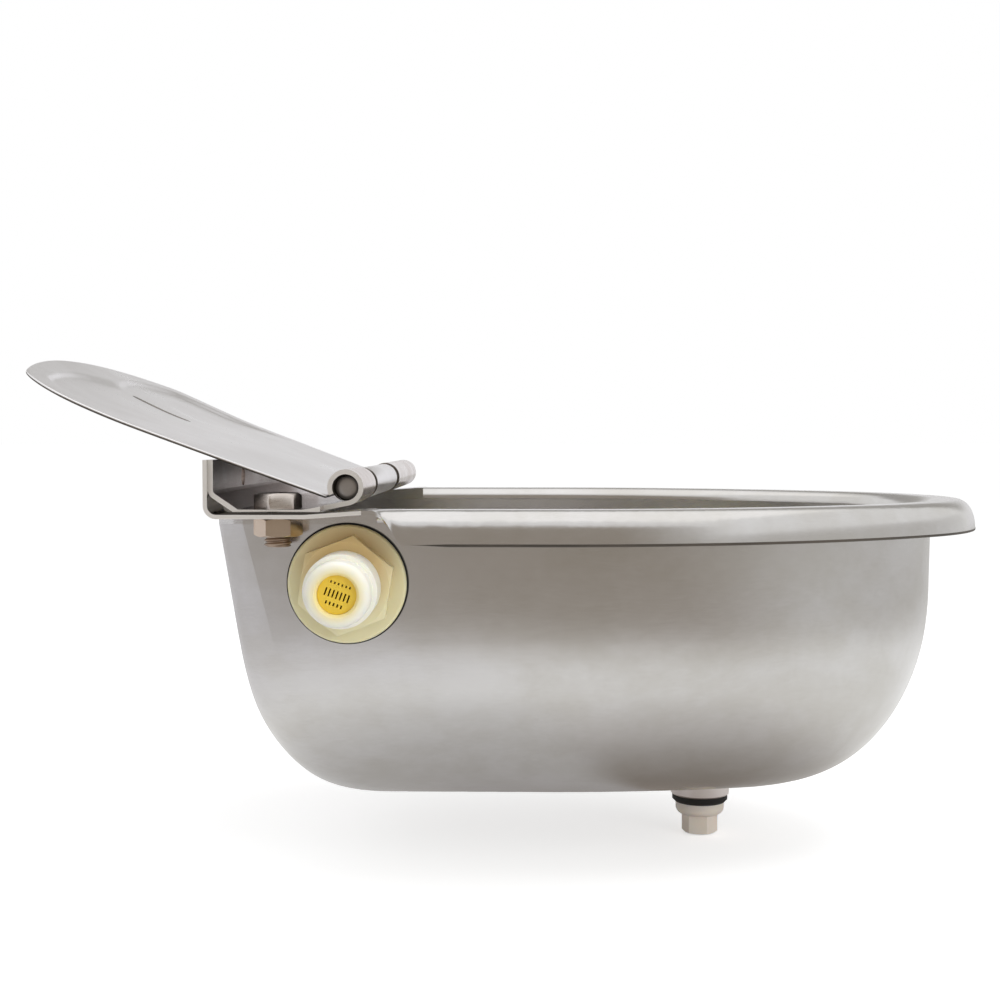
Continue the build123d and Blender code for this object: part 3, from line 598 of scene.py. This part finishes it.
def bead_reach(angle, radius):
    """Distance from the bead's middle to the line that runs round it at one radius."""
    cosine, sine = abs(math.cos(angle)), abs(math.sin(angle))
    if sine * bead_half < radius * cosine + 1e-9 or sine < 1e-6:
        return bead_half * cosine + math.sqrt(max(radius ** 2 - (bead_half * sine) ** 2, 0.0))
    return radius / sine


def joined(name, loops, material, close_ends=True):
    """A mesh through closed loops of equal length, one after another, smooth shaded."""
    mesh = bpy.data.meshes.new(name)
    work = bmesh.new()
    rows = [[work.verts.new(point) for point in loop] for loop in loops]
    for low, high in zip(rows, rows[1:]):
        for index in range(len(low)):
            after = (index + 1) % len(low)
            work.faces.new((low[index], low[after], high[after], high[index]))
    if close_ends:
        for row, turn in ((rows[0], -1), (rows[-1], 1)):
            middle = work.verts.new(sum((vert.co for vert in row), Vector()) / len(row))
            for index in range(len(row)):
                pair = (row[index], row[(index + 1) % len(row)])[::turn]
                work.faces.new((pair[0], pair[1], middle))
    bmesh.ops.recalc_face_normals(work, faces=work.faces)
    for face in work.faces:
        face.smooth = True
    work.to_mesh(mesh)
    work.free()
    mesh.materials.append(material)
    piece = bpy.data.objects.new(name, mesh)
    bpy.context.scene.collection.objects.link(piece)
    return piece


half_outline = lid_outline()
outline = half_outline + [(x, -y) for x, y in half_outline[-2:0:-1]]
angles = [math.atan2(y, x - bead_x) for x, y in outline]
edge_reach = [ray_reach(outline, (bead_x, 0.0), angle) for angle in angles]
bead_rings = (0.5, 1.4, 2.1, 2.25, 2.35, 2.45, 2.55, 2.7, 2.9, 3.5)
field_shares = (0.08, 0.18, 0.3, 0.45, 0.6, 0.75, 0.88)
border_rings = (18.5, 17.0, 16.0, 15.2, 14.5, 13.8, 13.0, 12.0, 10.5, 8.0, 5.0, 2.5, 1.2, 0.5)


def lid_loops():
    """Loops over the upper face from the bead out, round the thin rolled edge and back underneath."""
    plans = [[bead_reach(angle, radius) for angle in angles] for radius in bead_rings]
    inner = plans[-1]
    for share in field_shares:
        plans.append([low + (reach - border_rings[0] - low) * share for low, reach in zip(inner, edge_reach)])
    for border in border_rings:
        plans.append([reach - border for reach in edge_reach])
    faces = []
    for plan in plans:
        points = []
        for angle, reach, edge in zip(angles, plan, edge_reach):
            x, y = bead_x + reach * math.cos(angle), reach * math.sin(angle)
            points.append((x, y, lid_top(x, y, edge - reach)))
        faces.append(points)
    top = [[lid_place(x, y, z) for x, y, z in points] for points in faces]
    under = [[lid_place(x, y, z - lid_sheet) for x, y, z in points] for points in faces]
    edge = []
    for turn in (30, 60, 90, 120, 150):
        out = lid_sheet / 2 * math.sin(math.radians(turn))
        down = lid_sheet / 2 * (1.0 - math.cos(math.radians(turn)))
        loop = []
        for angle, reach, (x, y, z) in zip(angles, edge_reach, faces[-1]):
            loop.append(lid_place(x + out * math.cos(angle), y + out * math.sin(angle), z - down))
        edge.append(loop)
    return top + edge + under[::-1]


lid_steel = steel("lid_steel", (0.84, 0.83, 0.84), (0.77, 0.755, 0.76), 0.3, 0.1, 0.1, 0.2)
lid_plate = joined("lid_plate", lid_loops(), lid_steel)
# The bead's hollow is painted dark grey: painted shade.
bead_shade_steel = steel("bead_shade_steel", (0.20, 0.19, 0.18), (0.30, 0.28, 0.26), 0.45, 0.2, 0.2, 0.4)
# Near black steel: painted shade for the dark lines under the lid's edge, at the ends of its knuckle and along
# the lip's edge.
edge_shade_steel = steel("edge_shade_steel", (0.10, 0.09, 0.08), (0.16, 0.14, 0.12), 0.55, 0.2, 0.2, 0.4)
lid_plate.data.materials.append(bead_shade_steel)
lid_plate.data.materials.append(edge_shade_steel)
bead_shade_rows = range(8)
# The lower half of the rolled edge and the first rows underneath are painted near black: painted shade under the
# edge.
shaded_edge_rows = range(33, 38)
for face in lid_plate.data.polygons:
    row = face.index // len(angles)
    if row in bead_shade_rows:
        face.material_index = 1
    elif row in shaded_edge_rows:
        face.material_index = 2

# The knuckle is rolled from the same sheet, with its two ends a little rounded and painted near black, a painted
# shade in the gaps beside them.
roll_r, roll_start, roll_end, roll_round = 4.35, -54.0, 14.0, 0.4
roll_path = [(x, -roll_r) for x in (4.9, 3.0, 1.2)]
roll_path += arc_points((0.0, 0.0), roll_r, math.radians(-90), math.radians(-380), 48)
roll_loops = []
for y, thin in ((roll_start, 0.22), (roll_start + 0.15, 0.07), (roll_start + roll_round, 0.0),
                (roll_end - roll_round, 0.0), (roll_end - 0.15, 0.07), (roll_end, 0.22)):
    outer, inner = [], []
    for index, (x, z) in enumerate(roll_path):
        before, after = roll_path[max(index - 1, 0)], roll_path[min(index + 1, len(roll_path) - 1)]
        across = Vector((-(after[1] - before[1]), after[0] - before[0])).normalized() * (lid_sheet / 2 - thin)
        outer.append(lid_place(x + across.x, y, z + across.y))
        inner.append(lid_place(x - across.x, y, z - across.y))
    roll_loops.append(outer + inner[::-1])
lid_roll = joined("lid_roll", roll_loops, lid_steel, close_ends=False)
work = bmesh.new()
work.from_mesh(lid_roll.data)
work.verts.ensure_lookup_table()
count = len(roll_loops[0])
for start in (0, count * (len(roll_loops) - 1)):
    for index in range(count // 2 - 1):
        work.faces.new([work.verts[start + spot] for spot in
                        (index, index + 1, count - 2 - index, count - 1 - index)])
bmesh.ops.recalc_face_normals(work, faces=work.faces)
work.to_mesh(lid_roll.data)
work.free()
lid_roll.data.materials.append(edge_shade_steel)
for face in lid_roll.data.polygons:
    if not (roll_start + roll_round) * mm < face.center.y < (roll_end - roll_round) * mm:
        face.material_index = 1
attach(lid_plate, "lid")
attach(lid_roll, "lid")
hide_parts("lid")


# ---- painted shade round the pin, and the pin's end ----
# Near black rings round the pin in both gaps beside the lid's knuckle and in the mouth of the near
# roll are painted shade. The pin's turned end is thinner than its bore and lies to one side of it,
# with a near black disc of painted shade behind it in the bore.

def turned_loops(middle, steps, count):
    """Loops round an axis along y through a middle; each step is a radius and a place on the axis."""
    turns = [math.tau * step / count for step in range(count)]
    return [[Vector((middle[0] + radius * math.cos(turn), y, middle[1] + radius * math.sin(turn))) * mm
             for turn in turns] for radius, y in steps]


pin_r, bevel = 3.8, 0.3
hinge_middle = (hinge_x, hinge_z)
gap_shade = plastic("dark_gap_shade", (0.02, 0.018, 0.015), (0.05, 0.04, 0.03), 0.5, 0.6)
for name, start, end, depth in (("near_gap_shade", -62.9, -54.1, 0.42), ("far_gap_shade", 14.1, 19.9, 0.42),
                                ("mouth_gap_shade", -97.3, -94.1, -0.04)):
    thin, full = pin_r + depth * 0.3, pin_r + depth
    steps = ((thin, start), (full, start + bevel), (full, end - bevel), (thin, end))
    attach(joined(name, turned_loops(hinge_middle, steps, 48), gap_shade, close_ends=False), "bowl")

pin_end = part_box("hinge_pin")[0].y / mm
for name, middle, steps, material in (
    ("pin_shade", hinge_middle, ((3.78, 0.02), (3.7, -0.06), (1.5, -0.07)), gap_shade),
    ("pin_tip", (39.3, -2.5), ((3.42, 0.02), (3.42, -0.6), (3.25, -0.75), (1.5, -0.78)), pin_steel),
):
    steps = [(radius, pin_end + out) for radius, out in steps]
    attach(joined(name, turned_loops(middle, steps, 64), material), "bowl")


# ---- bracket bolts ----
# M8 hexagon bolts, cold formed, with a chamfered crown and a rolled thread that shows under the nuts.
# They stand head up through the bracket and the shelf.

def hexagon_reach(flats, angle, turn):
    """Distance from the middle of a hexagon to its side along an angle; a corner lies at turn."""
    step = math.radians(60)
    off = (angle - turn + step / 2) % step - step / 2
    return flats / 2.0 / math.cos(step / 2 - abs(off))


def thread_reach(angle, height, pitch, root, crest):
    """Radius of a screw thread with flat crests and roots at one angle and height."""
    flat, flank_width = 0.06, 0.36
    phase = (height / pitch - angle / math.tau) % 1.0
    flank = min(max((abs(phase - 0.5) - flat) / flank_width, 0.0), 1.0)
    return crest - (crest - root) * flank


shelf_z, bolt_x, bolt_y = -8.6, 20.0, 99.2
head_flats, head_turn, head_top = 12.0, math.radians(18), 4.8
crown_r, crown_slope = 5.7, math.tan(math.radians(32))
shank_r, thread_r, root_r, thread_pitch = 4.0, 3.98, 3.35, 1.25
thread_start, tip_start, bolt_end = -6.6, -10.0, -10.6
bolt_turns = [math.tau * step / 96 for step in range(96)]


def bolt_loops(x, y):
    """Loops of one bolt from the middle of its head down to the end of its thread."""
    crown_edge = head_top - 0.02
    loops = [[(crown_r * share, turn, height) for turn in bolt_turns]
             for share, height in ((0.5, head_top), (0.96, head_top), (1.0, crown_edge))]
    for share in (0.35, 0.7, 1.0):
        loop = []
        for turn in bolt_turns:
            side = hexagon_reach(head_flats, turn, head_turn) - 0.05
            reach = crown_r + (side - crown_r) * share
            loop.append((reach, turn, crown_edge - (reach - crown_r) * crown_slope))
        loops.append(loop)
    for height, trim in ((0.5, 0.0), (0.3, 0.05), (0.22, 0.4)):
        loops.append([(hexagon_reach(head_flats, turn, head_turn) - trim, turn, height) for turn in bolt_turns])
    loops.append([(shank_r, turn, 0.21) for turn in bolt_turns])
    for step in range(44):
        height = thread_start - step * 0.09
        tip = min(max(tip_start - height, 0.0), 0.6)
        reaches = [thread_reach(turn, height, thread_pitch, root_r, thread_r) for turn in bolt_turns]
        loops.append([(min(reach, thread_r - tip), turn, height) for reach, turn in zip(reaches, bolt_turns)])
    loops.append([(3.0, turn, bolt_end) for turn in bolt_turns])
    return [[Vector((x + reach * math.cos(turn), y + reach * math.sin(turn), height + shelf_z)) * mm
             for reach, turn, height in loop] for loop in loops]


bolt_steel = steel("bolt_steel", (0.60, 0.55, 0.51), (0.36, 0.30, 0.27), 0.32, 0.2, 0.2, 0.4)
finish_node("bracket_bolts", bolt_steel)
bolt_pieces = [joined(name, bolt_loops(bolt_x, y), bolt_steel)
               for name, y in (("near_bolt", -bolt_y), ("far_bolt", bolt_y))]
thread_steel = steel("thread_steel", (0.40, 0.31, 0.24), (0.20, 0.14, 0.10), 0.35, 0.2, 0.2, 0.3)
# The darker rows are the shank, the thread and, last, the middle of the crown.
dark_rows = range(9, 55)
for piece in bolt_pieces:
    piece.data.materials.append(thread_steel)
    for face in piece.data.polygons:
        if face.index // len(bolt_turns) in dark_rows:
            face.material_index = 1
    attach(piece, "bowl")
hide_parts("bracket_bolts")


# ---- painted shade under the bracket ----
# The bracket's leaf lies on the shelf, held by the bolts alone. Near black strips in the seam between
# them at both ends are painted shade.

leaf_end, seam_z = 105.02, -9.65
for name, y in (("near_seam", -leaf_end), ("far_seam", leaf_end)):
    loops = []
    for x, half in ((4.0, 0.1), (8.0, 0.6), (20.0, 0.7), (33.0, 0.6), (37.5, 0.1)):
        loops.append([Vector((x, y + across * 0.12, seam_z + up * half)) * mm
                      for across, up in ((-1, -0.6), (-1, 0.6), (0, 1), (1, 0.6), (1, -0.6), (0, -1))])
    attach(joined(name, loops, gap_shade), "bowl")


# ---- lip edge ----
# The lip ends in the sheet's cut edge, which shearing left a little rolled under. It is painted near
# black, a painted shade under the lip, so that it reads as a thin dark line all round the bowl.

def lip_path():
    """Plan of the middle of the lip's sheet from the near side round the nose to the far side."""
    lip_y, flank_x, flank_r, nose_r, meet = 106.0, 95.0, 178.14, 79.01, math.radians(46.7)
    side = [(58.0 + step * 3.7, lip_y) for step in range(10)]
    flank = arc_points((flank_x, lip_y - flank_r), flank_r, math.radians(90), meet, 24)
    nose = arc_points((162.99, 0.0), nose_r, meet, 0.0, 24)
    half = side + flank + nose[1:]
    return half + [(x, -y) for x, y in half[-2::-1]]


lip_z, edge_half, edge_drop, run_in = -18.25, 0.66, 0.55, 3
path = lip_path()
loops = []
for index, (x, y) in enumerate(path):
    before, after = path[max(index - 1, 0)], path[min(index + 1, len(path) - 1)]
    along = Vector((after[0] - before[0], after[1] - before[1])).normalized()
    outward = Vector((-along.y, along.x)) * edge_half
    grown = min(index, len(path) - 1 - index, run_in) / run_in
    loops.append([Vector((x + outward.x * across, y + outward.y * across, lip_z - drop * edge_drop * grown)) * mm
                  for across, drop in ((1.0, -0.5), (1.0, 0.3), (0.8, 0.8), (0.35, 1.0), (-0.35, 1.0),
                                       (-0.8, 0.8), (-1.0, 0.3), (-1.0, -0.5))])
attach(joined("lip_edge", loops, edge_shade_steel), "bowl")


# ---- weld round the drain boss ----
# The stainless boss is welded to the pan from below. The weld is a small rippled fillet, and its heat
# left a straw-coloured tint.

boss_x, boss_r, weld_z, weld_leg = 151.0, 10.0, -103.05, 1.15
loops = []
for step in range(160):
    turn = math.tau * step / 160
    leg = weld_leg + 0.12 * math.cos(step * math.tau / 5.0) + 0.08 * math.sin(3.0 * turn)
    loops.append([Vector((boss_x + (boss_r + out * leg) * math.cos(turn), (boss_r + out * leg) * math.sin(turn),
                          weld_z - down * leg)) * mm
                  for out, down in ((0.0, -0.3), (1.3, -0.2), (1.0, 0.3), (0.62, 0.62), (0.3, 1.0), (0.0, 1.2))])
loops.append(loops[0])
weld_steel = steel("weld_steel", (0.62, 0.56, 0.46), (0.48, 0.40, 0.34), 0.34, 0.3, 0.2, 0.4)
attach(joined("boss_weld", loops, weld_steel, close_ends=False), "bowl")
